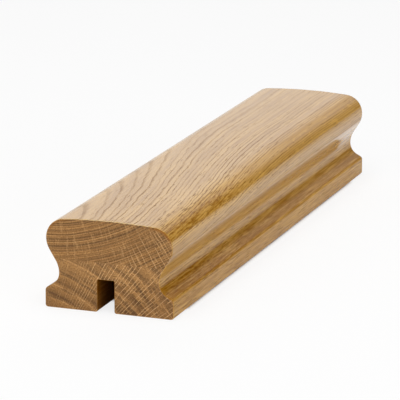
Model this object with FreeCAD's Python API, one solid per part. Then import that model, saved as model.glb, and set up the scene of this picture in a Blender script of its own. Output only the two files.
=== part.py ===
"""Length of solid oak stair handrail: an omega section with a groove along its underside.

The rail lies on its foot. The origin is at the middle of the underside, X runs along the length,
Y across the section and Z up.
"""
import FreeCAD, Part
import math
import os

# Overall size, in millimetres
LENGTH = 300.0
WIDTH = 65.0
HEIGHT = 45.0

# Grip: an arched top, round shoulders and an S-shaped flank down to the neck
CROWN_RADIUS = 300.0
SHOULDER_RADIUS = 9.8
GRIP_INSET = 0.5  # widest line of the grip, in from the side of the foot
NECK_DEPTH = 7.0  # narrowest line, in from the side of the foot
FLANK_FULLNESS = 0.9  # radius of the flank's two arcs, as a share of the largest that fits

# Foot: a sloped top that runs into the neck through a cove
FOOT_SIDE = 9.4  # height of the corner between the side and the sloped top, before rounding
FOOT_SLOPE = 28.0  # degrees above level
COVE_RADIUS = 7.0
FOOT_ROUND = 2.2
BOTTOM_ROUND = 1.3

# Groove that takes the upper edge of an infill panel
GROOVE_WIDTH = 8.6
GROOVE_DEPTH = 16.0
GROOVE_OFFSET = 1.6  # middle of the groove, from the middle of the foot towards +Y
GROOVE_MOUTH_ROUND = 1.0
GROOVE_CORNER_ROUND = 0.5

TOLERANCE = 1e-6


def arc(y, z, radius, start, end):
    """Arc in the plane of the section about (y, z), between two angles in degrees."""
    points = []
    for angle in (start, (start + end) / 2, end):
        turn = math.radians(angle)
        points.append(FreeCAD.Vector(0, y + radius * math.cos(turn), z + radius * math.sin(turn)))
    return points


def mirrored(arcs):
    """The same arcs on the other side of the section, so that the outline runs on downwards."""
    return [[FreeCAD.Vector(p.x, -p.y, p.z) for p in reversed(points)] for points in reversed(arcs)]


def groove_arcs():
    """Rounds of the groove, from its -Y edge to its +Y edge."""
    low = GROOVE_OFFSET - GROOVE_WIDTH / 2
    high = GROOVE_OFFSET + GROOVE_WIDTH / 2
    corner_height = GROOVE_DEPTH - GROOVE_CORNER_ROUND
    return [
        arc(low - GROOVE_MOUTH_ROUND, GROOVE_MOUTH_ROUND, GROOVE_MOUTH_ROUND, -90, 0),
        arc(low + GROOVE_CORNER_ROUND, corner_height, GROOVE_CORNER_ROUND, 180, 90),
        arc(high - GROOVE_CORNER_ROUND, corner_height, GROOVE_CORNER_ROUND, 90, 0),
        arc(high + GROOVE_MOUTH_ROUND, GROOVE_MOUTH_ROUND, GROOVE_MOUTH_ROUND, 180, 270),
    ]


def side_arcs():
    """Arcs of the +Y side, from the underside up to the middle of the crown."""
    side = WIDTH / 2
    neck = side - NECK_DEPTH
    grip = side - GRIP_INSET
    slope = math.radians(FOOT_SLOPE)
    tangent = math.tan((math.pi / 2 - slope) / 2)
    neck_height = FOOT_SIDE + NECK_DEPTH * math.tan(slope) + COVE_RADIUS * tangent

    # The shoulder touches the crown from inside, which sets the height of the widest line
    shoulder = grip - SHOULDER_RADIUS
    crown_centre = HEIGHT - CROWN_RADIUS
    crown_reach = math.sqrt((CROWN_RADIUS - SHOULDER_RADIUS) ** 2 - shoulder ** 2)
    grip_height = crown_centre + crown_reach
    crown_start = math.degrees(math.atan2(crown_reach, shoulder))

    # Two equal arcs and the straight line that touches both make the flank
    swell = grip - neck
    rise = grip_height - neck_height
    flank_radius = FLANK_FULLNESS * (swell ** 2 + rise ** 2) / (4 * swell)
    across = swell - 2 * flank_radius
    turn = math.atan2(rise, across) + math.acos(2 * flank_radius / math.hypot(across, rise))
    flank = math.degrees(turn)

    return [
        arc(side - BOTTOM_ROUND, BOTTOM_ROUND, BOTTOM_ROUND, -90, 0),
        arc(side - FOOT_ROUND, FOOT_SIDE - FOOT_ROUND * tangent, FOOT_ROUND, 0, 90 - FOOT_SLOPE),
        arc(neck + COVE_RADIUS, neck_height, COVE_RADIUS, 270 - FOOT_SLOPE, 180),
        arc(neck + flank_radius, neck_height, flank_radius, 180, flank),
        arc(grip - flank_radius, grip_height, flank_radius, flank - 180, 0),
        arc(shoulder, grip_height, SHOULDER_RADIUS, 0, crown_start),
        arc(0, crown_centre, CROWN_RADIUS, crown_start, 90),
    ]


def outline(arcs):
    """Closed wire of the arcs in order, with a straight edge across each gap between two of them."""
    edges = []
    last = arcs[-1][-1]
    for points in arcs:
        if last.distanceToPoint(points[0]) > TOLERANCE:
            edges.append(Part.LineSegment(last, points[0]).toShape())
        edges.append(Part.Arc(*points).toShape())
        last = points[-1]
    return Part.Wire(edges)


def handrail():
    """The whole rail, sawn square at both ends."""
    side = side_arcs()
    section = Part.Face(outline(groove_arcs() + side + mirrored(side)))
    section.translate(FreeCAD.Vector(-LENGTH / 2, 0, 0))
    return section.extrude(FreeCAD.Vector(LENGTH, 0, 0))


os.makedirs("parts", exist_ok=True)
handrail().exportStep("parts/handrail.step")
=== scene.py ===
"""Looks of a stair handrail length: moulded oak under clear lacquer, with bare sawn ends."""

import logging
import math
from collections.abc import Mapping, Sequence
from dataclasses import dataclass, field
from enum import Enum
from functools import reduce
from operator import mul
from typing import Any, Union

import bpy
from mathutils import Color, Matrix, Vector


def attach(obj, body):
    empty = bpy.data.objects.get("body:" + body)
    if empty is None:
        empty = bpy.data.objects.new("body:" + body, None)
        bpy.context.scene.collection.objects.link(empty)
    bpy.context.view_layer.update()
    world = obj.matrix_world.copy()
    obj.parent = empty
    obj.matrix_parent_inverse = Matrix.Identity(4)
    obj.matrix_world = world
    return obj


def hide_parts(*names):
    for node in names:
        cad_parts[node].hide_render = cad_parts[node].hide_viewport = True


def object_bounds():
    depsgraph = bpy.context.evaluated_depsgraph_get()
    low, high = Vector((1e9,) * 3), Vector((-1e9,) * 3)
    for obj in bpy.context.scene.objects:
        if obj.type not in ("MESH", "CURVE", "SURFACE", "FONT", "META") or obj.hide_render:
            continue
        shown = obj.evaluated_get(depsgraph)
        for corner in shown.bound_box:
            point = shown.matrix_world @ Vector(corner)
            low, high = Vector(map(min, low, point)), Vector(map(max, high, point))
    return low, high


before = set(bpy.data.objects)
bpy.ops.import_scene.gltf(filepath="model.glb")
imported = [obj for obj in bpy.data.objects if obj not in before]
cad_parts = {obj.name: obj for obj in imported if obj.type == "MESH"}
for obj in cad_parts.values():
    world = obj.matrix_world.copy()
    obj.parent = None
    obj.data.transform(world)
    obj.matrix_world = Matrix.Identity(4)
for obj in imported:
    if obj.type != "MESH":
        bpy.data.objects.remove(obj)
CAD_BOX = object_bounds()

LOG = logging.getLogger("handrail")
NODE = "handrail"
BODY = "root"
ARRIS = "arris"
MM = 0.001
SAME_SPOT = 1e-3 * MM
FEWEST_CHORDS = 4
NOISE_MIDDLE = 0.5
SCREEN_WHITE = 255

Colour = tuple[float, float, float, float]
Span = tuple[float, float]
Number = Union["Field", float]

WHITE: Colour = (1.0, 1.0, 1.0, 1.0)


class Surface(Enum):
    """How a face of the rail was made, by the place of its finish among the materials."""

    MOULDED = 0
    SAWN = 1


def from_screen(red: int, green: int, blue: int) -> Colour:
    """Turn a colour as a screen shows it, in parts of 255, into the linear one that shaders take."""
    shown = Color((red / SCREEN_WHITE, green / SCREEN_WHITE, blue / SCREEN_WHITE))
    return (*shown.from_srgb_to_scene_linear(), 1.0)


class Field:
    """A value that varies over a surface: an output socket that takes part in Python's arithmetic."""

    def __init__(self, graph: "Graph", socket: bpy.types.NodeSocket) -> None:
        """Keep the graph that the socket belongs to."""
        self.graph = graph
        self.socket = socket

    def math(self, operation: str, *others: Number) -> "Field":
        """Put this value first into a Math node and return its result."""
        sockets = dict(enumerate((self, *others)))
        return self.graph.node("ShaderNodeMath", {"operation": operation}, sockets)

    def __add__(self, other: Number) -> "Field":
        """This value plus the other."""
        return self.math("ADD", other)

    def __radd__(self, other: float) -> "Field":
        """A number plus this value."""
        return self.math("ADD", other)

    def __sub__(self, other: Number) -> "Field":
        """This value less the other."""
        return self.math("SUBTRACT", other)

    def __rsub__(self, other: float) -> "Field":
        """A number less this value."""
        return self.graph.node("ShaderNodeMath", {"operation": "SUBTRACT"}, {0: other, 1: self})

    def __mul__(self, other: Number) -> "Field":
        """This value times the other."""
        return self.math("MULTIPLY", other)

    def __rmul__(self, other: float) -> "Field":
        """A number times this value."""
        return self.math("MULTIPLY", other)

    def __truediv__(self, other: Number) -> "Field":
        """This value divided by the other."""
        return self.math("DIVIDE", other)

    def __rtruediv__(self, other: float) -> "Field":
        """A number divided by this value."""
        return self.graph.node("ShaderNodeMath", {"operation": "DIVIDE"}, {0: other, 1: self})

    def __abs__(self) -> "Field":
        """This value without its sign."""
        return self.math("ABSOLUTE")

    def fraction(self) -> "Field":
        """What is left of this value above the whole number below it."""
        return self.math("FRACT")

    def whole(self) -> "Field":
        """The whole number at or below this value."""
        return self.math("FLOOR")

    def root(self) -> "Field":
        """Square root of this value."""
        return self.math("SQRT")

    def step(self, low: float, high: float) -> "Field":
        """Rise smoothly from 0 at low to 1 at high, which may be the smaller of the two."""
        sockets = {"Value": self, "From Min": low, "From Max": high}
        return self.graph.node("ShaderNodeMapRange", {"interpolation_type": "SMOOTHSTEP"}, sockets)

    def between(self, low: Number, high: Number) -> "Field":
        """Use this value, from 0 to 1, to go from low to high."""
        return low + self * (high - low)


class Graph:
    """Nodes of one material or world, all added through one method."""

    def __init__(self, tree: bpy.types.NodeTree) -> None:
        """Start from an empty tree."""
        self.tree = tree
        tree.nodes.clear()

    @classmethod
    def of_material(cls, name: str) -> tuple[bpy.types.Material, "Graph"]:
        """Start a material.

        Args:
            name: The material's name.

        Returns:
            The material, and the graph of its nodes.
        """
        material = bpy.data.materials.new(name)
        material.use_nodes = True
        return material, cls(material.node_tree)

    def node(
        self,
        kind: str,
        settings: Mapping[str, Any] | None = None,
        sockets: Mapping[Union[str, int], Any] | None = None,
        output: Union[str, int] = 0,
    ) -> Field | None:
        """Add a node, apply its settings and fill its sockets.

        Args:
            kind: Blender's name for the node's type.
            settings: Properties to set first. "stops" holds a ramp's places and colours.
            sockets: Values or fields for the sockets in use, by name or by place.
            output: Name or place of the output that is wanted.

        Returns:
            The output as a field, or None for a node that has no output.
        """
        made = self.tree.nodes.new(kind)
        for name, value in (settings or {}).items():
            if name == "stops":
                self._set_stops(made.color_ramp, value)
            else:
                setattr(made, name, value)
        inputs = [socket for socket in made.inputs if socket.enabled]
        by_name = {socket.name: socket for socket in reversed(inputs)}
        for name, value in (sockets or {}).items():
            target = inputs[name] if isinstance(name, int) else by_name[name]
            if isinstance(value, Field):
                self.tree.links.new(value.socket, target)
            else:
                target.default_value = value
        outputs = [socket for socket in made.outputs if socket.enabled]
        if not outputs:
            return None
        if isinstance(output, int):
            return Field(self, outputs[output])
        return Field(self, next(socket for socket in outputs if socket.name == output))

    def _set_stops(self, ramp: bpy.types.ColorRamp, stops: Sequence[tuple[float, Colour]]) -> None:
        """Give a colour ramp these stops and no others.

        Args:
            ramp: The ramp.
            stops: The places, from 0 to 1, and their colours.
        """
        while len(ramp.elements) > 1:
            ramp.elements.remove(ramp.elements[-1])
        for number, (place, colour) in enumerate(stops):
            element = ramp.elements[0] if number == 0 else ramp.elements.new(place)
            element.position = place
            element.color = colour

    def vector(self, x: Number, y: Number, z: Number) -> Field:
        """Join three values into a vector."""
        return self.node("ShaderNodeCombineXYZ", {}, {"X": x, "Y": y, "Z": z})

    def parts(self, vector: Field) -> tuple[Field, Field, Field]:
        """Part a vector into its three values.

        Args:
            vector: The vector.

        Returns:
            Its X, Y and Z.
        """
        first = self.node("ShaderNodeSeparateXYZ", {}, {"Vector": vector})
        node = first.socket.node
        return first, Field(self, node.outputs["Y"]), Field(self, node.outputs["Z"])

    def noise(self, place: Field, grain: "Grain") -> Field:
        """Smooth noise at a place in space, with the grain's detail."""
        sockets = {"Vector": place, "Scale": 1.0, "Detail": grain.detail, "Roughness": grain.roughness}
        return self.node("ShaderNodeTexNoise", {"noise_dimensions": "3D"}, sockets)

    def noise_along(self, place: Field, fineness: float) -> Field:
        """Smooth noise along one value."""
        sockets = {"W": place, "Scale": fineness, "Detail": 1.0}
        return self.node("ShaderNodeTexNoise", {"noise_dimensions": "1D"}, sockets)

    def cells(self, place: Field) -> tuple[Field, Field]:
        """Part space into scattered cells.

        Args:
            place: The place in space.

        Returns:
            The distance from the middle of the nearest cell, and a random value for each cell.
        """
        sockets = {"Vector": place, "Scale": 1.0, "Randomness": 1.0}
        distance = self.node("ShaderNodeTexVoronoi", {"voronoi_dimensions": "3D", "feature": "F1"}, sockets)
        return distance, Field(self, distance.socket.node.outputs["Color"])

    def cells_along(self, place: Field, randomness: float) -> tuple[Field, Field]:
        """Part one value into scattered cells.

        Args:
            place: The value.
            randomness: How unevenly the cells lie, from 0 to 1.

        Returns:
            The distance from the nearest border of a cell, and a random value for each cell.
        """
        sockets = {"W": place, "Scale": 1.0, "Randomness": randomness}
        settings = {"voronoi_dimensions": "1D", "feature": "DISTANCE_TO_EDGE"}
        border = self.node("ShaderNodeTexVoronoi", settings, sockets)
        rank = self.node("ShaderNodeTexVoronoi", settings | {"feature": "F1"}, sockets, "Color")
        return border, rank

    def chance(self, place: Field) -> Field:
        """A random value from 0 to 1 for each value of place."""
        return self.node("ShaderNodeTexWhiteNoise", {"noise_dimensions": "1D"}, {"W": place})

    def mix(self, share: Field, under: Union[Field, Colour], over: Union[Field, Colour]) -> Field:
        """Lay one colour over another, by the share of the upper one that shows."""
        settings = {"data_type": "RGBA", "blend_type": "MIX", "clamp_factor": True}
        return self.node("ShaderNodeMix", settings, {"Factor": share, "A": under, "B": over})


@dataclass(frozen=True)
class Grain:
    """Noise with its own fineness along each of three values, in cells to one of theirs.

    With a span, the noise is cut to a mask that goes from 0 to 1 over it.
    """

    fineness: tuple[float, float, float]
    span: Span | None = None
    detail: float = 2.0
    roughness: float = 0.5

    def over(
        self, graph: Graph, first: Field, second: Field, third: Number = 1.0, apart: Number | None = None
    ) -> Field:
        """Draw the noise over a surface.

        Args:
            graph: The graph to add to.
            first: The first value.
            second: The second value.
            third: The third value. Without it, the noise is cut flat at its third fineness.
            apart: Cells by which the third value is moved on, where two places have to differ.

        Returns:
            The noise, or its mask.
        """
        along_first, along_second, along_third = self.fineness
        depth = third * along_third
        if apart is not None:
            depth = depth + apart
        noise = graph.noise(graph.vector(first * along_first, second * along_second, depth), self)
        return noise.step(*self.span) if self.span else noise


@dataclass(frozen=True)
class Spot:
    """Where a point lies, in millimetres from the near end, to the photograph's right, and up."""

    along: Field
    right: Field
    up: Field


@dataclass(frozen=True)
class Region:
    """A part of the rail, by those soft edges that it has.

    Each edge is a span in millimetres, from where the region has not begun to where it is whole, and share is
    how much it counts there.
    """

    near: Span | None = None
    far: Span | None = None
    left: Span | None = None
    right: Span | None = None
    bottom: Span | None = None
    top: Span | None = None
    share: float | None = None

    def over(self, spot: Spot) -> Field:
        """How much a point is inside the region.

        Args:
            spot: Where the point lies.

        Returns:
            A value that goes from 0 to 1, or to the region's share.
        """
        edges = (
            (spot.along, self.near),
            (spot.along, self.far),
            (spot.right, self.left),
            (spot.right, self.right),
            (spot.up, self.bottom),
            (spot.up, self.top),
        )
        inside = reduce(mul, (value.step(*span) for value, span in edges if span))
        return inside * self.share if self.share else inside


@dataclass(frozen=True)
class Oak(Spot):
    """Fields of the wood over a surface.

    upper is 1 in the upper board and 0 in the lower one. out and above are measured from the tree's centre
    line, radius is the distance from it that the rings follow, and order counts the rings.
    """

    upper: Field
    out: Field
    above: Field
    radius: Field
    order: Field
    early: Field
    fibre: Field
    pores: Field
    shoulder: Field
    groove: Field


@dataclass(frozen=True)
class Lamella:
    """One board of the glued blank, by the tree's centre line that it was sawn beside, in millimetres.

    The centre line is given at the near end, to the photograph's right and up. It climbs and drifts to the
    left by these amounts on its way along the rail. ring is the width of a growth ring, ray_gap the distance
    between two rays and ray_start how far to the right they grow bold. The rest are shares.
    """

    centre_right: float
    centre_up: float
    climb: float
    drift: float
    ring: float
    ring_spread: float
    early: float
    pores: float
    strands: float
    zones: float
    blocks: float
    ray_gap: float
    ray_start: float
    ray_least: float
    ray_strength: float


UPPER_BOARD = Lamella(
    centre_right=-34.0,
    centre_up=125.0,
    climb=7.5,
    drift=13.0,
    ring=1.12,
    ring_spread=1.0,
    early=1.0,
    pores=1.0,
    strands=0.0,
    zones=0.3,
    blocks=0.25,
    ray_gap=1.7,
    ray_start=20.0,
    ray_least=0.3,
    ray_strength=0.65,
)
LOWER_BOARD = Lamella(
    centre_right=-51.0,
    centre_up=-62.0,
    climb=-2.0,
    drift=3.0,
    ring=6.6,
    ring_spread=0.5,
    early=0.35,
    pores=0.8,
    strands=1.2,
    zones=0.75,
    blocks=0.65,
    ray_gap=1.5,
    ray_start=0.0,
    ray_least=0.45,
    ray_strength=0.95,
)


@dataclass(frozen=True)
class OakFigure:
    """Growth rings, fibres and pores of the two boards, in millimetres."""

    upper: Lamella = UPPER_BOARD
    lower: Lamella = LOWER_BOARD
    glue_height: float = 24.4
    glue_width: float = 0.1
    climb_span: Span = (-110.0, 200.0)
    drift_span: Span = (0.0, 200.0)

    bend: float = 1.5
    bend_grain: Grain = Grain((0.02, 0.03, 0.03), detail=1.0)
    ripple: float = 0.8
    ripple_grain: Grain = Grain((0.08, 0.09, 0.09), detail=1.0)
    board_gap: float = 7.0
    calm: Region = Region(left=(-34.0, 4.0))
    calm_least: float = 0.25

    ring_gap: float = 57.0
    spread_fineness: float = 0.37
    ring_chance: Span = (0.1, 0.9)
    ring_strength: Span = (0.5, 1.0)
    early_start: Span = (0.0, 0.08)
    early_end: Span = (0.46, 0.14)
    fibre_grain: Grain = Grain((0.03, 1.4, 1.4), detail=3.0, roughness=0.6)

    pore_length: float = 11.0
    pore_gap: float = 0.5
    pore_edge: Span = (0.42, 0.22)
    pore_cut: Span = (0.0, 0.05)
    open_early: float = 0.85
    open_upper: float = 0.24
    open_lower: Span = (0.36, 0.55)
    open_near: Region = Region(far=(220.0, 60.0))
    open_shoulder: float = 0.4
    shoulder: Region = Region(far=(150.0, 60.0), left=(14.0, 24.0), bottom=(34.0, 38.0))

    groove_right: float = -1.6
    groove_side: Span = (4.7, 4.2)
    groove_head: Region = Region(top=(16.4, 15.9))

    def board(self, upper: Field, name: str) -> Field:
        """Pick one of the boards' values by which board a point is in."""
        return upper.between(getattr(self.lower, name), getattr(self.upper, name))

    def bent(self, graph: Graph, spot: Spot, upper: Field) -> Field:
        """How far the rings stray from true circles.

        Args:
            graph: The graph to add to.
            spot: Where the point lies.
            upper: Whether the point is in the upper board.

        Returns:
            The distance, less of it where the rings are calm.
        """
        apart = upper * self.board_gap
        slow = self.bend_grain.over(graph, spot.along, spot.right, spot.up, apart) - NOISE_MIDDLE
        quick = self.ripple_grain.over(graph, spot.along, spot.right, spot.up, apart) - NOISE_MIDDLE
        return (slow * self.bend + quick * self.ripple) * self.calm.over(spot).between(self.calm_least, 1.0)

    def fields(self, graph: Graph) -> Oak:
        """Work out the fields that both finishes are made from.

        Args:
            graph: The graph to add to.

        Returns:
            The fields.
        """
        x, y, z = graph.parts(graph.node("ShaderNodeTexCoord", {}, {}, "Object"))
        spot = Spot((x - CAD_BOX[0].x) / MM, y / -MM, z / MM)
        along, right, up = spot.along, spot.right, spot.up
        upper = up.step(self.glue_height - self.glue_width / 2, self.glue_height + self.glue_width / 2)

        drift = along.step(*self.drift_span) * self.board(upper, "drift")
        climb = along.step(*self.climb_span) * self.board(upper, "climb")
        out = right - self.board(upper, "centre_right") + drift
        above = up - self.board(upper, "centre_up") - climb
        radius = (out * out + above * above).root() + self.bent(graph, spot, upper)
        order = radius / self.board(upper, "ring")
        order = order + graph.noise_along(order, self.spread_fineness) * self.board(upper, "ring_spread")

        depth = order.fraction() * self.board(upper, "ring")
        strength = graph.chance(order.whole() + upper * self.ring_gap)
        strength = strength.step(*self.ring_chance).between(*self.ring_strength)
        early = depth.step(*self.early_start) * depth.step(*self.early_end) * strength
        early = early * self.board(upper, "early")
        fibre = self.fibre_grain.over(graph, along, out, above)

        shoulder = self.shoulder.over(spot)
        gap, length = self.pore_gap, self.pore_length
        distance, rank = graph.cells(graph.vector(along / length, out / gap, above / gap))
        lower = self.open_near.over(spot).between(*self.open_lower)
        share = shoulder * self.open_shoulder + upper.between(lower, self.open_upper)
        share = early.between(share, self.open_early)
        pores = distance.step(*self.pore_edge) * (share - rank).step(*self.pore_cut)
        groove = abs(right - self.groove_right).step(*self.groove_side) * self.groove_head.over(spot)
        return Oak(along, right, up, upper, out, above, radius, order, early, fibre, pores, shoulder, groove)


@dataclass(frozen=True)
class LacqueredOak:
    """Moulded long grain under a clear satin lacquer, which is all that shines.

    A depth is how far the wood goes from its pale to its deep colour, a lift is how far it goes back, and a
    share is how much of another colour is laid over it.
    """

    figure: OakFigure
    pale: Colour = from_screen(207, 161, 83)
    deep: Colour = from_screen(168, 121, 52)
    pore: Colour = from_screen(96, 60, 20)
    # Painted shade in the cove, and golden patches on the near shoulder's brow
    gold_and_cove_shade: Colour = from_screen(156, 104, 12)
    fleck: Colour = from_screen(222, 172, 84)
    # Painted sheen: a whitish colour that stands in for the lacquer's reflection on the flank
    painted_sheen: Colour = from_screen(236, 226, 216)
    # Painted highlight: a pale colour laid along the top arris, where the edge catches the light
    arris: Colour = from_screen(240, 212, 160)
    shaded: Colour = from_screen(98, 50, 6)

    soft: Span = (0.35, 0.65)
    crisp: Span = (0.3, 0.6)
    streak_grain: Grain = Grain((0.018, 0.16, 0.16), (0.32, 0.68), detail=3.0)
    streak_depth: float = 0.3
    growth_fineness: float = 0.7
    growth_depth: float = 0.28
    fibre_depth: float = 0.3
    strand_grain: Grain = Grain((0.05, 0.75, 0.75))
    strand_depth: float = 1.2
    strand_lift: float = 1.2
    # Painted shade: the foot's colour is made deeper, as the foot gets less light
    foot: Region = Region(top=(10.0, 8.0), share=0.25)
    far_flank: Region = Region(near=(150.0, 280.0), bottom=(15.0, 18.0), top=(27.0, 23.0), share=0.35)
    shoulder_lift: float = 0.25
    bright: Region = Region(top=(44.3, 42.5))
    bright_share: float = 0.5

    faint_left: Region = Region(left=(-31.0, 8.0))
    faint_left_share: float = 0.45
    faint_far: Region = Region(near=(150.0, 300.0))
    faint_far_share: float = 0.7
    line_shares: Span = (0.4, 0.9)
    pore_shares: Span = (0.72, 0.9)

    # Where painted shade darkens the cove
    cove: Region = Region(bottom=(8.0, 10.0), top=(17.0, 14.5))
    brow: Region = Region(left=(25.0, 28.0), bottom=(36.0, 39.0))
    brow_share: float = 1.2
    near_part: Region = Region(far=(190.0, 50.0))
    mottle_grain: Grain = Grain((0.16, 1.1, 1.1), roughness=0.6)
    mottle_span: Span = (0.42, 0.58)
    mottle_shares: Span = (0.1, 0.25)
    stain_span: Span = (0.5, 0.66)
    stain_share: float = 0.45
    patch_least: float = 0.08
    patch_strands: float = 0.32
    patch_fibre_span: Span = (0.38, 0.62)
    patch_fibres: float = 0.2
    quirk: Region = Region(bottom=(9.3, 9.8), top=(10.9, 10.3), share=0.7)
    near_cove: Region = Region(far=(110.0, 10.0), bottom=(9.0, 10.0), top=(16.6, 15.0))
    quirk_shares: Span = (0.1, 0.5)

    fleck_grain: Grain = Grain((0.11, 0.3, 0.45), (0.59, 0.67), roughness=0.6)
    fleck_share: float = 0.4
    # Where the painted sheen lies, on the flank below the band that the lacquer reflects
    swell: Region = Region(bottom=(25.0, 28.5), top=(31.2, 29.8), share=0.2)
    groove_share: float = 0.9
    # Where the painted highlight runs, on the top arris
    highlight_reach: Region = Region(right=(24.0, 12.0), bottom=(39.0, 44.0))
    rim_grain: Grain = Grain((0.4, 0.4, 2.0), (0.35, 0.5), detail=1.0)
    rim_shares: Span = (0.2, 0.9)

    thin_brow: Region = Region(left=(18.0, 22.5), right=(28.0, 24.5), bottom=(40.0, 42.0), share=0.25)
    thin_swell: Region = Region(bottom=(29.6, 30.6), top=(33.6, 31.4), share=0.2)
    thin_end: Region = Region(far=(60.0, 5.0), top=(37.0, 35.5), share=0.2)
    thin_cove: Region = Region(top=(21.0, 14.0), share=0.5)
    above_foot: Region = Region(bottom=(7.0, 9.0))
    thin_foot_share: float = 0.6
    lacquer_roughness: float = 0.16
    lacquer_ior: float = 1.5
    pore_gloss_loss: float = 0.7
    wood_roughness: Span = (0.5, 0.65)
    relief_strength: float = 0.15
    relief_depth: float = 0.3 * MM

    def lacquer(self, oak: Oak) -> Field:
        """How thick the lacquer lies: none in the groove, thin in the cove and rubbed on the grip's swells.

        Args:
            oak: The wood's fields.

        Returns:
            The share of its full weight.
        """
        cove = self.above_foot.over(oak).between(self.thin_foot_share, 1.0) * self.thin_cove.over(oak)
        weight = (1.0 - oak.groove) * (1.0 - cove)
        for region in (self.thin_brow, self.thin_swell, self.thin_end):
            weight = weight * (1.0 - region.over(oak))
        return weight

    def ground(self, graph: Graph, oak: Oak, strand: Field) -> Field:
        """Colour the wood between its pores.

        Args:
            graph: The graph to add to.
            oak: The wood's fields.
            strand: Noise of the long strands.

        Returns:
            The colour.
        """
        streak = self.streak_grain.over(graph, oak.along, oak.out, oak.above)
        growth = graph.noise_along(oak.order + oak.upper * self.figure.ring_gap, self.growth_fineness)
        bright = oak.shoulder * self.bright.over(oak)
        tone = streak * self.streak_depth + growth.step(*self.soft) * self.growth_depth
        tone = tone + oak.fibre.step(*self.soft) * self.fibre_depth
        # The foot's deeper tone is painted shade
        tone = tone + self.foot.over(oak) + self.far_flank.over(oak)
        tone = tone - (oak.shoulder + bright) * self.shoulder_lift
        strands = oak.fibre + strand * self.strand_depth - self.strand_lift
        tone = tone + strands * self.figure.board(oak.upper, "strands")
        colour = graph.mix(tone, self.pale, self.deep)
        return graph.mix(bright * self.bright_share, colour, self.fleck)

    def open_pores(self, oak: Oak) -> Field:
        """How open the pores are, which is less to the left and towards the far end.

        Args:
            oak: The wood's fields.

        Returns:
            A share from 0 to 1.
        """
        faint = self.faint_left.over(oak).between(self.faint_left_share, 1.0)
        faint = faint * self.faint_far.over(oak).between(1.0, self.faint_far_share)
        lines = oak.early * oak.fibre.step(*self.crisp).between(*self.line_shares)
        return lines.math("MAXIMUM", oak.pores * self.figure.board(oak.upper, "pores")) * faint

    def shade_cove_and_gold(self, graph: Graph, oak: Oak, strand: Field, brow: Field, colour: Field) -> Field:
        """Darken the cove and the foot's upper edge as painted shade, and lay golden patches on the near
        shoulder's brow, with dark strokes over both near the end.

        Args:
            graph: The graph to add to.
            oak: The wood's fields.
            strand: Noise of the long strands.
            brow: How much a point is on the grip's brow.
            colour: The colour so far.

        Returns:
            The darker colour.
        """
        near = self.near_part.over(oak)
        mottle = self.mottle_grain.over(graph, oak.along, oak.out, oak.above)
        crisp = oak.fibre.step(*self.crisp)
        # Painted shade in the cove; on the near shoulder's brow the same colour makes golden patches in the
        # wood
        shade_and_gold = self.cove.over(oak) + oak.shoulder * brow * self.brow_share
        stain = shade_and_gold * mottle.step(*self.stain_span) * crisp * near * self.stain_share
        patches = mottle.step(*self.mottle_span) * near.between(*self.mottle_shares) + self.patch_least
        patches = patches + strand.step(*self.soft) * self.patch_strands
        patches = patches + oak.fibre.step(*self.patch_fibre_span) * self.patch_fibres
        # A darker line along the foot's upper edge, and more of the cove near the end, add to the painted
        # shade
        quirk = self.quirk.over(oak) + self.near_cove.over(oak)
        shade_and_gold = shade_and_gold * patches + quirk * crisp.between(*self.quirk_shares)
        colour = graph.mix(shade_and_gold, colour, self.gold_and_cove_shade)
        return graph.mix(stain, colour, self.shaded)

    def trim(self, graph: Graph, oak: Oak, brow: Field, colour: Field) -> Field:
        """Add the flecks on the brow, a painted sheen on the flank, the groove's painted shade and a painted
        highlight on the top arris.

        Args:
            graph: The graph to add to.
            oak: The wood's fields.
            brow: How much a point is on the grip's brow.
            colour: The colour so far.

        Returns:
            The finished colour.
        """
        fleck = self.fleck_grain.over(graph, oak.along, oak.out, oak.above) * brow
        colour = graph.mix(fleck * self.fleck_share, colour, self.fleck)
        # Painted sheen on the flank, where the reflected band fades downwards
        colour = graph.mix(self.swell.over(oak), colour, self.painted_sheen)
        colour = graph.mix(oak.groove * self.groove_share, colour, self.shaded)
        # Painted highlight along the top arris, broken by noise
        arris_highlight = graph.node("ShaderNodeAttribute", {"attribute_name": ARRIS}, {}, "Fac")
        highlight_breaks = self.rim_grain.over(graph, oak.right, oak.up)
        arris_highlight = arris_highlight * self.highlight_reach.over(oak) * highlight_breaks.between(*self.rim_shares)
        return graph.mix(arris_highlight, colour, self.arris)

    def make(self) -> bpy.types.Material:
        """Build the material.

        Returns:
            The finished material.
        """
        material, graph = Graph.of_material("lacquered_oak")
        oak = self.figure.fields(graph)
        strand = self.strand_grain.over(graph, oak.along, oak.out, oak.above)
        brow = self.brow.over(oak)
        pores = self.open_pores(oak)
        colour = self.ground(graph, oak, strand)
        colour = graph.mix(pores * oak.shoulder.between(*self.pore_shares), colour, self.pore)
        colour = self.shade_cove_and_gold(graph, oak, strand, brow, colour)
        colour = self.trim(graph, oak, brow, colour)
        relief = graph.node(
            "ShaderNodeBump",
            {"invert": True},
            {"Strength": self.relief_strength, "Distance": self.relief_depth, "Height": pores},
        )
        shader = graph.node(
            "ShaderNodeBsdfPrincipled",
            {},
            {
                "Base Color": colour,
                "Roughness": pores.between(*self.wood_roughness),
                "Specular IOR Level": 0.0,
                "Coat Weight": (1.0 - pores * self.pore_gloss_loss) * self.lacquer(oak),
                "Coat Roughness": self.lacquer_roughness,
                "Coat IOR": self.lacquer_ior,
                "Normal": relief,
            },
        )
        graph.node("ShaderNodeOutputMaterial", {}, {"Surface": shader})
        return material


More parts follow.
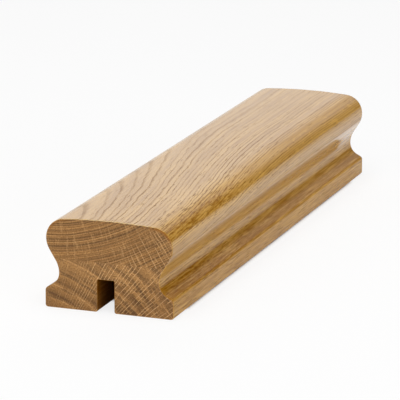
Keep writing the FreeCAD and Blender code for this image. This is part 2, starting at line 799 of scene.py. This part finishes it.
@dataclass(frozen=True)
class SawnEndGrain:
    """Bare end grain as the saw left it, with rings and rays.

    Places are parts of a ring's width, and a share is how much of a colour is laid over the wood.
    """

    figure: OakFigure
    light: Colour = from_screen(209, 161, 104)
    middle: Colour = from_screen(182, 133, 78)
    dark: Colour = from_screen(100, 71, 45)
    line: Colour = from_screen(82, 54, 30)
    ray: Colour = from_screen(232, 186, 128)
    soaked: Colour = from_screen(154, 95, 24)

    ring_gap: float = 31.0
    narrow_places: tuple[float, ...] = (0.0, 0.28, 0.48, 0.8)
    narrow_fade: Span = (0.75, 0.15)
    wide_places: tuple[float, ...] = (0.0, 0.05, 0.1, 0.35, 1.0)
    wide_fade: Span = (0.28, 0.6)
    band_fineness: float = 0.55
    band_span: Span = (0.42, 0.6)
    band_share: float = 0.52

    arc_radius: float = 95.0
    zone_grain: Grain = Grain((0.42, 0.05, 9.0), (0.5, 0.66))
    lean: float = 0.8
    lean_grain: Grain = Grain((0.15, 0.15, 8.0), detail=1.0)
    ray_scatter: float = 0.9
    side_span: Span = (-36.0, 6.0)
    block_grain: Grain = Grain((0.8, 40.0, 9.0), (0.5, 0.68), detail=1.0)
    block_least: float = 0.25
    ray_edge: Span = (0.13, 0.05)
    ray_chance: Span = (0.5, 0.1)
    ray_cut: Span = (0.0, 0.15)
    break_grain: Grain = Grain((0.6, 0.07, 1.0), (0.34, 0.56))
    crowd_up: float = 22.0
    crowd_slope: float = 1.1
    crowd_span: Span = (-8.0, 4.0)
    crowd_least: float = 0.35
    weave_grain: Grain = Grain((0.9, 0.12, 3.0), (0.52, 0.7))
    weave_share: float = 0.4

    neck: Region = Region(bottom=(12.0, 20.0), share=0.16)
    foot: Region = Region(top=(16.0, 6.0), share=0.1)
    speck_grain: Grain = Grain((1.6, 1.6, 5.0), detail=3.0, roughness=0.7)
    speck_span: Span = (0.47, 0.66)
    speck_share: float = 0.6
    pore_share: float = 0.55
    shoulder_right: float = 22.2
    shoulder_up: float = 34.4
    soak_edge: Span = (7.6, 9.8)
    soak_side: Span = (19.0, 24.0)
    soak_top: Region = Region(bottom=(36.0, 40.0))
    soak_right: Region = Region(left=(-5.0, 5.0))
    soak_shares: Span = (0.5, 0.9)
    crown_height: float = 45.0
    crown_radius: float = 300.0
    chip_fineness: float = 0.7
    chip_span: Span = (0.46, 0.6)
    chip_right: Region = Region(left=(-14.0, 2.0))
    chip_depth: Span = (1.1, 0.3)
    chip_share: float = 0.7
    roughness: Span = (0.7, 0.85)
    gloss: float = 0.2
    relief_strength: float = 0.25
    relief_depth: float = 0.3 * MM

    def ramp(self, graph: Graph, place: Field, places: Sequence[float], *colours: Colour) -> Field:
        """Colour that goes through these colours at these places."""
        return graph.node("ShaderNodeValToRGB", {"stops": tuple(zip(places, colours))}, {"Fac": place})

    def rings(self, graph: Graph, oak: Oak) -> Field:
        """Colour the growth rings, which are narrow in the upper board and wide in the lower one.

        Args:
            graph: The graph to add to.
            oak: The wood's fields.

        Returns:
            The colour.
        """
        line, light, middle, dark = self.line, self.light, self.middle, self.dark
        phase = oak.order.fraction()
        fade = graph.chance(oak.order.whole() + oak.upper * self.ring_gap)
        narrow = self.ramp(graph, phase, self.narrow_places, line, line, light, middle)
        narrow = graph.mix(fade.between(*self.narrow_fade), narrow, middle)
        band = graph.noise_along(oak.radius, self.band_fineness).step(*self.band_span)
        narrow = graph.mix(band * self.band_share, narrow, dark)
        wide = self.ramp(graph, phase, self.wide_places, light, light, middle, dark, middle)
        wide = graph.mix(fade.between(*self.wide_fade), wide, middle)
        return graph.mix(oak.upper, wide, narrow)

    def rays(self, graph: Graph, oak: Oak, colour: Field) -> Field:
        """Lay the rays over the rings, with darker zones and blocks of wood between them.

        Args:
            graph: The graph to add to.
            oak: The wood's fields.
            colour: The colour so far.

        Returns:
            The colour with rays.
        """
        board = self.figure.board
        upper = oak.upper
        arc = oak.out.math("ARCTAN2", oak.above) * self.arc_radius
        zone = self.zone_grain.over(graph, oak.radius, arc, upper)
        colour = graph.mix(zone * board(upper, "zones"), colour, self.dark)

        lean = (self.lean_grain.over(graph, oak.right, oak.up) - NOISE_MIDDLE) * self.lean
        border, rank = graph.cells_along((arc + lean) / board(upper, "ray_gap"), self.ray_scatter)
        side = (oak.right - board(upper, "ray_start")).step(*self.side_span)
        block = self.block_grain.over(graph, oak.radius, rank, upper) * side.between(self.block_least, 1.0)
        colour = graph.mix(block * board(upper, "blocks"), colour, self.dark)

        weave = self.weave_grain.over(graph, arc, oak.radius)
        colour = graph.mix(weave * upper * self.weave_share, colour, self.light)

        chosen = (rank - side.between(*self.ray_chance)).step(*self.ray_cut)
        breaks = self.break_grain.over(graph, arc, oak.radius)
        crowd = (oak.right - (oak.up - self.crowd_up) * self.crowd_slope).step(*self.crowd_span)
        crowd = upper.between(1.0, crowd.between(self.crowd_least, 1.0))
        rays = border.step(*self.ray_edge) * breaks * chosen * board(upper, "ray_strength")
        rays = rays * side.between(board(upper, "ray_least"), 1.0) * crowd
        return graph.mix(rays, colour, self.ray)

    def edges(self, graph: Graph, oak: Oak, colour: Field) -> Field:
        """Darken the edge where lacquer soaked in round the shoulders and where the saw chipped the top.

        Args:
            graph: The graph to add to.
            oak: The wood's fields.
            colour: The colour so far.

        Returns:
            The finished colour.
        """
        right, up = oak.right, oak.up
        aside, above = abs(right) - self.shoulder_right, up - self.shoulder_up
        soak = (aside * aside + above * above).root().step(*self.soak_edge)
        soak = soak * abs(right).step(*self.soak_side) * self.soak_top.over(oak)
        soak = soak * self.soak_right.over(oak).between(*self.soak_shares)
        colour = graph.mix(soak, colour, self.soaked)
        depth = self.crown_height - right * right / (2 * self.crown_radius) - up
        chips = graph.noise_along(right, self.chip_fineness).step(*self.chip_span) * self.chip_right.over(oak)
        return graph.mix(depth.step(*self.chip_depth) * chips * self.chip_share, colour, self.line)

    def make(self) -> bpy.types.Material:
        """Build the material.

        Returns:
            The finished material.
        """
        material, graph = Graph.of_material("sawn_end_grain")
        oak = self.figure.fields(graph)
        speck = self.speck_grain.over(graph, oak.right, oak.up)
        colour = self.rays(graph, oak, self.rings(graph, oak))
        colour = graph.mix(self.neck.over(oak) * (1.0 - oak.upper), colour, self.light)
        colour = graph.mix(self.foot.over(oak), colour, self.dark)
        colour = graph.mix(speck.step(*self.speck_span) * self.speck_share, colour, self.line)
        colour = graph.mix(oak.pores * self.pore_share, colour, self.line)
        colour = self.edges(graph, oak, colour)
        relief = graph.node(
            "ShaderNodeBump",
            {},
            {"Strength": self.relief_strength, "Distance": self.relief_depth, "Height": speck},
        )
        shader = graph.node(
            "ShaderNodeBsdfPrincipled",
            {},
            {
                "Base Color": colour,
                "Roughness": speck.between(*self.roughness),
                "Specular IOR Level": self.gloss,
                "Normal": relief,
            },
        )
        graph.node("ShaderNodeOutputMaterial", {}, {"Surface": shader})
        return material


@dataclass(frozen=True)
class PaleFloor:
    """Matt floor that looks white and still takes a shadow, and stays dark under the rail.

    Spans are in metres, counted outwards from the rail's foot: over edge the floor turns white to the eye,
    and over shade it turns white in the lacquer. The white reaches into the ends of the groove over inlet.
    behind and dim_side, which is counted to the left, bound the part that the lacquer doesn't mirror.
    """

    albedo: float = 0.93
    glow: float = 0.8
    edge: Span = (-2.0 * MM, 2.0 * MM)
    inlet: Span = (-25.0 * MM, -17.5 * MM)
    shade: Span = (5.0 * MM, 60.0 * MM)
    behind: Span = (0.15, 0.45)
    dim_side: Span = (-0.05, -0.2)

    def make(self) -> bpy.types.Material:
        """Build the material.

        Returns:
            The finished material.
        """
        material, graph = Graph.of_material("pale_floor")
        seen = graph.node("ShaderNodeLightPath", {}, {}, "Is Camera Ray")
        light = seen.socket.node
        seen = seen.math("MAXIMUM", Field(graph, light.outputs["Is Transmission Ray"]))
        mirrored = Field(graph, light.outputs["Is Glossy Ray"])
        x, y, _ = graph.parts(graph.node("ShaderNodeTexCoord", {}, {}, "Object"))
        past_end = abs(x) - CAD_BOX[1].x
        beyond = past_end.math("MAXIMUM", abs(y) - CAD_BOX[1].y)
        white = beyond.step(*self.edge).math("MAXIMUM", past_end.step(*self.inlet))
        dim = beyond.step(*self.behind) * y.step(*self.dim_side)
        share = seen * white * self.glow + mirrored * beyond.step(*self.shade) * (1.0 - dim)
        matt = graph.node("ShaderNodeBsdfDiffuse", {}, {"Color": (self.albedo,) * 3 + (1.0,)})
        glow = graph.node("ShaderNodeEmission", {}, {"Color": WHITE, "Strength": 1.0})
        shader = graph.node("ShaderNodeMixShader", {}, {0: share, 1: matt, 2: glow})
        graph.node("ShaderNodeOutputMaterial", {}, {"Surface": shader})
        return material


@dataclass(frozen=True)
class LightTent:
    """Soft surroundings, whose back wall is bright on the left and falls to dark on the right.

    fill is the tent's left side, front its side behind the camera, and panel a low bright one on the right.
    On the wall, glare is added on the left and gloom is what stays on the right. All of these are
    brightnesses. Turns are degrees from the rail's axis to the left, and heads, feet, fades and the roof are
    degrees above level. Sides and reaches are parts of a direction of length 1.
    """

    fill: float = 0.18
    left_side: Span = (-0.1, 0.3)
    front: float = 0.8
    front_reach: Span = (-0.55, -0.65)
    roof: Span = (65.0, 60.0)
    panel: float = 2.1
    panel_side: Span = (0.1, -0.3)
    panel_reach: Span = (-0.65, -0.55)
    panel_head: Span = (28.0, 22.0)
    wall: float = 0.82
    wall_turn: Span = (-22.0, -4.0)
    glare: float = 0.42
    glare_turn: Span = (3.0, 15.0)
    gloom: float = 0.02
    wall_low: float = 0.85
    wall_fade: Span = (11.0, 18.0)
    wall_foot: Span = (0.0, 1.0)
    wall_head: Span = (50.0, 32.0)
    wall_left: Span = (75.0, 55.0)
    wall_right: Span = (-90.0, -70.0)

    def make(self) -> bpy.types.World:
        """Build the surroundings.

        Returns:
            The world.
        """
        world = bpy.data.worlds.new("light_tent")
        world.use_nodes = True
        graph = Graph(world.node_tree)
        x, y, z = graph.parts(graph.node("ShaderNodeTexCoord", {}, {}, "Generated"))
        turn = y.math("ARCTAN2", x) * math.degrees(1.0)
        rise = z.math("ARCSINE") * math.degrees(1.0)
        wall = self.gloom + turn.step(*self.wall_turn) * self.wall + turn.step(*self.glare_turn) * self.glare
        wall = wall * rise.step(*self.wall_fade).between(self.wall_low, 1.0)
        share = turn.step(*self.wall_left) * turn.step(*self.wall_right)
        share = share * rise.step(*self.wall_foot) * rise.step(*self.wall_head)
        panel = y.step(*self.panel_side) * x.step(*self.panel_reach) * rise.step(*self.panel_head)
        tent = y.step(*self.left_side) * self.fill + x.step(*self.front_reach) * self.front
        tent = tent * rise.step(*self.roof) + panel * self.panel

        # The camera sees plain white, and only the wood and the floor see the tent
        seen = graph.node("ShaderNodeLightPath", {}, {}, "Is Camera Ray")
        level = seen.between(share.between(tent, wall), 1.0)
        glow = graph.node("ShaderNodeBackground", {}, {"Color": WHITE, "Strength": level})
        graph.node("ShaderNodeOutputWorld", {}, {"Surface": glow})
        return world


@dataclass(frozen=True)
class Bend:
    """An arc of the section, in millimetres and degrees."""

    across: float
    up: float
    radius: float
    start: float
    end: float

    def mirrored(self) -> "Bend":
        """The same arc on the other side, run the other way."""
        return Bend(-self.across, self.up, self.radius, 180 - self.end, 180 - self.start)

    def points(self, step: float) -> list["RimPoint"]:
        """Points along the arc.

        Args:
            step: The longest chord between two points.

        Returns:
            The points, with both ends among them.
        """
        sweep = math.radians(self.end - self.start)
        count = max(FEWEST_CHORDS, math.ceil(abs(sweep) * self.radius / step))
        side = math.copysign(1.0, sweep)
        points = []
        for number in range(count + 1):
            turn = math.radians(self.start) + sweep * number / count
            way = Vector((math.cos(turn), math.sin(turn)))
            points.append(RimPoint(Vector((self.across, self.up)) + way * self.radius, way * side))
        return points


@dataclass(frozen=True)
class RimPoint:
    """A point of the section's outline, with the way that its surface faces."""

    place: Vector
    facing: Vector


@dataclass(frozen=True)
class Section:
    """The rail's outline: tangent arcs with straight lines across the gaps, in millimetres and degrees."""

    width: float = 65.0
    height: float = 45.0
    crown_radius: float = 300.0
    shoulder_radius: float = 9.8
    grip_inset: float = 0.5
    neck_depth: float = 7.0
    flank_fullness: float = 0.9
    foot_side: float = 9.4
    foot_slope: float = 28.0
    cove_radius: float = 7.0
    foot_round: float = 2.2
    bottom_round: float = 1.3
    groove_width: float = 8.6
    groove_depth: float = 16.0
    groove_offset: float = 1.6
    mouth_round: float = 1.0
    corner_round: float = 0.5
    step: float = 0.7

    def groove(self) -> list[Bend]:
        """Work out the groove.

        Returns:
            Its arcs, from its -Y edge to its +Y edge.
        """
        low = self.groove_offset - self.groove_width / 2
        high = self.groove_offset + self.groove_width / 2
        mouth, corner = self.mouth_round, self.corner_round
        return [
            Bend(low - mouth, mouth, mouth, -90, 0),
            Bend(low + corner, self.groove_depth - corner, corner, 180, 90),
            Bend(high - corner, self.groove_depth - corner, corner, 90, 0),
            Bend(high + mouth, mouth, mouth, 180, 270),
        ]

    def side(self) -> list[Bend]:
        """Work out the +Y side.

        Returns:
            Its arcs, from the underside up to the middle of the crown.
        """
        side = self.width / 2
        neck = side - self.neck_depth
        grip = side - self.grip_inset
        slope = math.radians(self.foot_slope)
        tangent = math.tan((math.pi / 2 - slope) / 2)
        neck_height = self.foot_side + self.neck_depth * math.tan(slope) + self.cove_radius * tangent

        # The shoulder touches the crown from inside, which sets the height of the widest line
        shoulder = grip - self.shoulder_radius
        centre = self.height - self.crown_radius
        reach = math.sqrt((self.crown_radius - self.shoulder_radius) ** 2 - shoulder**2)
        crown = math.degrees(math.atan2(reach, shoulder))

        # Two equal arcs and the straight line that touches both make the flank
        swell = grip - neck
        rise = centre + reach - neck_height
        bow = self.flank_fullness * (swell**2 + rise**2) / (4 * swell)
        across = swell - 2 * bow
        flank = math.degrees(math.atan2(rise, across) + math.acos(2 * bow / math.hypot(across, rise)))

        bottom, foot = self.bottom_round, self.foot_round
        return [
            Bend(side - bottom, bottom, bottom, -90, 0),
            Bend(side - foot, self.foot_side - foot * tangent, foot, 0, 90 - self.foot_slope),
            Bend(neck + self.cove_radius, neck_height, self.cove_radius, 270 - self.foot_slope, 180),
            Bend(neck + bow, neck_height, bow, 180, flank),
            Bend(grip - bow, centre + reach, bow, flank - 180, 0),
            Bend(shoulder, centre + reach, self.shoulder_radius, 0, crown),
            Bend(0, centre, self.crown_radius, crown, 90),
        ]

    def outline(self) -> list[RimPoint]:
        """Points of the whole outline in order, in metres.

        Returns:
            The points, from the groove round by the +Y side.
        """
        side = self.side()
        bends = self.groove() + side + [bend.mirrored() for bend in reversed(side)]
        points: list[RimPoint] = []
        for bend in bends:
            for point in bend.points(self.step):
                spot = RimPoint(point.place * MM, point.facing)
                if not points or (spot.place - points[-1].place).length > SAME_SPOT:
                    points.append(spot)
        return points


@dataclass
class Handrail:
    """The rail itself: its section swept along its length, with eased edges at both saw cuts.

    arris is the radius of an eased edge, and arris_room is where the straight part begins, in radii. rim_band
    is the width of the outer ring of faces on a saw cut, and bays are the lengths between two sections.
    """

    arris: float = 0.22 * MM
    arris_steps: int = 3
    arris_room: float = 2.5
    rim_band: float = 0.55 * MM
    bays: int = 30
    section: Section = field(default_factory=Section)
    figure: OakFigure = field(default_factory=OakFigure)

    def stations(self) -> list[tuple[float, float, float]]:
        """Places along the rail where the section stands.

        Returns:
            For each place, the distance along, how far the outline is drawn in, and how much it is arris.
        """
        low, high = CAD_BOX[0].x, CAD_BOX[1].x
        near = [(low, self.arris + self.rim_band, 0.0)]
        for number in range(self.arris_steps + 1):
            turn = math.pi / 2 * (1 - number / self.arris_steps)
            inset = self.arris * (1 - math.cos(turn))
            near.append((low + self.arris * (1 - math.sin(turn)), inset, math.sin(turn)))
        near.append((low + self.arris_room * self.arris, 0.0, 0.0))
        far = [(low + high - along, inset, share) for along, inset, share in reversed(near)]
        bay = (high - low) / self.bays
        return near + [(low + bay * number, 0.0, 0.0) for number in range(1, self.bays)] + far

    def build(self) -> bpy.types.Object:
        """Build the rail's mesh.

        Returns:
            The rail, with its moulded and sawn faces told apart.
        """
        outline = self.section.outline()
        stations = self.stations()
        count = len(outline)
        spots = []
        shares = []
        for along, inset, share in stations:
            for point in outline:
                across, up = point.place - point.facing * inset
                spots.append((along, across, up))
                shares.append(share)
        faces = []
        surfaces = []
        for row in range(len(stations) - 1):
            sawn = row == 0 or row == len(stations) - 2
            for column in range(count):
                after = (column + 1) % count
                start = row * count
                faces.append((start + column, start + after, start + count + after, start + count + column))
                surfaces.append(Surface.SAWN if sawn else Surface.MOULDED)
        last = (len(stations) - 1) * count
        faces.append(tuple(reversed(range(count))))
        faces.append(tuple(range(last, last + count)))
        surfaces += [Surface.SAWN, Surface.SAWN]

        mesh = bpy.data.meshes.new("oak_handrail")
        mesh.from_pydata(spots, [], faces)
        mesh.attributes.new(ARRIS, "FLOAT", "POINT").data.foreach_set("value", shares)
        mesh.polygons.foreach_set("material_index", [surface.value for surface in surfaces])
        mesh.polygons.foreach_set("use_smooth", [surface is Surface.MOULDED for surface in surfaces])
        mesh.update()
        rail = bpy.data.objects.new("oak_handrail", mesh)
        bpy.context.collection.objects.link(rail)
        return rail

    def dress(self, rail: bpy.types.Object) -> None:
        """Give the rail its two finishes and tie it to the solid that it stands for.

        Args:
            rail: The rail's object.
        """
        finishes = {Surface.MOULDED: LacqueredOak(self.figure), Surface.SAWN: SawnEndGrain(self.figure)}
        for surface in Surface:
            rail.data.materials.append(finishes[surface].make())
        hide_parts(NODE)
        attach(rail, BODY)


@dataclass(frozen=True)
class Softbox:
    """A wide lamp that faces the rail, by where it hangs, in metres and watts."""

    name: str
    place: tuple[float, float, float]
    size: tuple[float, float]
    power: float
    aim: tuple[float, float, float] = (0.0, 0.0, 0.02)

    def build(self) -> bpy.types.Object:
        """Hang the lamp.

        Returns:
            The lamp's object.
        """
        lamp = bpy.data.lights.new(self.name, "AREA")
        lamp.shape = "RECTANGLE"
        lamp.size, lamp.size_y = self.size
        lamp.energy = self.power
        holder = bpy.data.objects.new(self.name, lamp)
        holder.location = self.place
        way = Vector(self.aim) - Vector(self.place)
        holder.rotation_euler = way.to_track_quat("-Z", "Y").to_euler()
        bpy.context.collection.objects.link(holder)
        return holder


@dataclass
class Studio:
    """Pale floor, light tent and a soft lamp overhead."""

    floor_reach: float = 14.0
    floor_drop: float = 0.05 * MM
    tent: LightTent = field(default_factory=LightTent)
    lamps: tuple[Softbox, ...] = (
        Softbox("overhead", (-0.35, -0.12, 1.75), (1.6, 1.6), 27.0),
    )

    def build(self) -> None:
        """Lay the floor, hang the lamps and set the surroundings."""
        half = self.floor_reach / 2
        mesh = bpy.data.meshes.new("floor")
        level = CAD_BOX[0].z - self.floor_drop
        corners = [(-half, -half, level), (half, -half, level), (half, half, level), (-half, half, level)]
        mesh.from_pydata(corners, [], [(0, 1, 2, 3)])
        mesh.materials.append(PaleFloor().make())
        floor = bpy.data.objects.new("floor", mesh)
        bpy.context.collection.objects.link(floor)
        for lamp in self.lamps:
            lamp.build()
        bpy.context.scene.world = self.tent.make()
        bpy.context.scene.view_settings.view_transform = "Standard"


@dataclass(frozen=True)
class PhotoCamera:
    """Camera at the photograph's angle, aimed at a point beside the rail's middle, in metres and degrees."""

    aim: tuple[float, float, float] = (-0.00369, 0.00739, 0.01885)
    heading: float = 70.12
    elevation: float = 14.70
    roll: float = -0.25
    distance: float = 1.659
    reach: float = 100.0
    sensor: float = 36.0
    focal_pixels: float = 3229.9
    frame_pixels: float = 400.0

    def build(self) -> bpy.types.Object:
        """Set up the camera.

        Returns:
            The camera's object.
        """
        heading, dip = math.radians(self.heading), math.radians(self.elevation)
        level = math.cos(dip)
        way = Vector((math.sin(heading) * level, math.cos(heading) * level, -math.sin(dip)))
        lens = bpy.data.cameras.new("photo_camera")
        lens.sensor_width = self.sensor
        lens.lens = self.sensor * self.focal_pixels / self.frame_pixels
        lens.clip_end = self.reach
        camera = bpy.data.objects.new("photo_camera", lens)
        turn = way.to_track_quat("-Z", "Y").to_matrix().to_4x4()
        turn = Matrix.Rotation(math.radians(self.roll), 4, way) @ turn
        camera.matrix_world = Matrix.Translation(Vector(self.aim) - way * self.distance) @ turn
        bpy.context.collection.objects.link(camera)
        bpy.context.scene.camera = camera
        return camera


def main() -> None:
    """Build the rail and the studio, and log the rail's face count and the camera's place."""
    logging.basicConfig(level=logging.INFO)
    handrail = Handrail()
    rail = handrail.build()
    handrail.dress(rail)
    LOG.info("%s: %d faces", rail.name, len(rail.data.polygons))
    Studio().build()
    camera = PhotoCamera().build()
    LOG.info("%s at %s", camera.name, tuple(round(part, 3) for part in camera.location))


if __name__ == "__main__":
    main()
